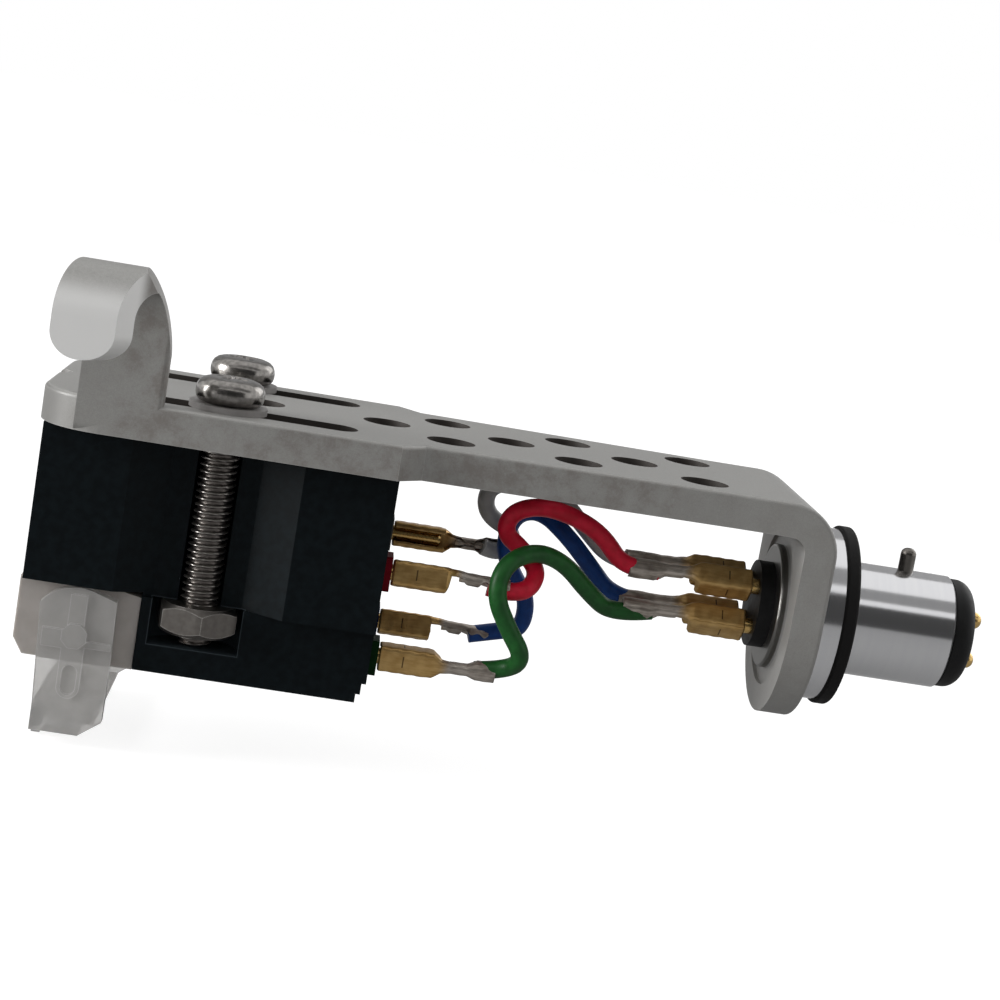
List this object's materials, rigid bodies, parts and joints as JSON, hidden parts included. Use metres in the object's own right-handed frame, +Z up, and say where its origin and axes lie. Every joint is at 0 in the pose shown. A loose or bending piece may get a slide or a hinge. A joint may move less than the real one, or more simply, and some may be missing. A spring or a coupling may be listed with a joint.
{
  "type": "turntable headshell with a mounted moving-magnet cartridge",
  "caption": "Perforated headshell with bayonet connector and finger lift, carrying a moving-magnet cartridge with its stylus guard and colour-coded leads.",
  "frame": {"origin": "on the connector's axis, at the rear face of its rubber washer, where the tonearm's end seats", "axes": "+X runs back along the connector towards the tonearm, +Y is the far side in the picture, +Z is up"},
  "size_m": [0.0662, 0.0253, 0.0325],
  "materials": {
    "silver_casting": "satin",
    "chromed_barrel": "polished",
    "bright_steel": "bright",
    "black_rubber": "matte",
    "black_insulator": "satin",
    "black_body": "satin",
    "coil_copper": "enamelled",
    "clear_washer": "satin",
    "milky_plastic": "milky, slightly see-through",
    "clear_plastic": "clear",
    "tube_aluminium": "bright",
    "magnet_metal": "ground",
    "diamond": "polished",
    "gold_brass": "gold plated",
    "insulation_white": "satin",
    "insulation_red": "satin",
    "insulation_blue": "satin",
    "insulation_green": "satin"
  },
  "bodies": {
    "headshell": {"bayonet_pin": "bright_steel", "body_clip_blue": "gold_brass", "body_clip_green": "gold_brass", "body_clip_red": "gold_brass", "body_clip_white": "gold_brass", "cartridge_body": "black_body", "channel_shield": "bright_steel", "coil_left": "coil_copper", "coil_right": "coil_copper", "connector_barrel": "chromed_barrel", "contact_carrier": "black_insulator", "contact_clip_blue": "gold_brass", "contact_clip_green": "gold_brass", "contact_clip_red": "gold_brass", "contact_clip_white": "gold_brass", "contact_pin_blue": "gold_brass", "contact_pin_green": "gold_brass", "contact_pin_red": "gold_brass", "contact_pin_white": "gold_brass", "headshell_casting": "silver_casting", "lead_blue": "insulation_blue", "lead_green": "insulation_green", "lead_red": "insulation_red", "lead_white": "insulation_white", "mounting_screw_far": "bright_steel", "mounting_screw_near": "bright_steel", "pole_piece_left": "bright_steel", "pole_piece_right": "bright_steel", "rubber_washer": "black_rubber", "screw_nut_far": "bright_steel", "screw_nut_near": "bright_steel", "screw_pad_far": "clear_washer", "screw_pad_near": "clear_washer", "terminal_block": "black_insulator", "terminal_pin_blue": "gold_brass", "terminal_pin_green": "gold_brass", "terminal_pin_red": "gold_brass", "terminal_pin_white": "gold_brass", "terminal_tag_blue": "insulation_blue", "terminal_tag_green": "insulation_green", "terminal_tag_red": "insulation_red", "terminal_tag_white": "insulation_white"},
    "stylus_unit": {"stylus_holder": "milky_plastic", "suspension_sleeve": "bright_steel", "suspension_ring": "black_rubber"},
    "guard": {"stylus_guard": "clear_plastic"},
    "moving_stylus": {"cantilever": "tube_aluminium", "stylus_magnet": "magnet_metal", "stylus_tip": "diamond"}
  },
  "joints": [
    {"name": "stylus_unit_slide", "type": "slide", "parent": "headshell", "child": "stylus_unit", "axis": [-1, 0, 0], "range_m": [0, 0.008]},
    {"name": "guard_hinge", "type": "hinge", "parent": "stylus_unit", "child": "guard", "pos_m": [-0.05196, 0, -0.00768], "axis": [0, 1, 0], "range_deg": [0, 95]},
    {"name": "stylus_pivot", "type": "hinge", "parent": "stylus_unit", "child": "moving_stylus", "pos_m": [-0.0469, 0, -0.0079], "axis": [0, 1, 0], "range_deg": [-2.5, 2.5], "stiffness_Nm_per_rad": 0.0034}
  ]
}
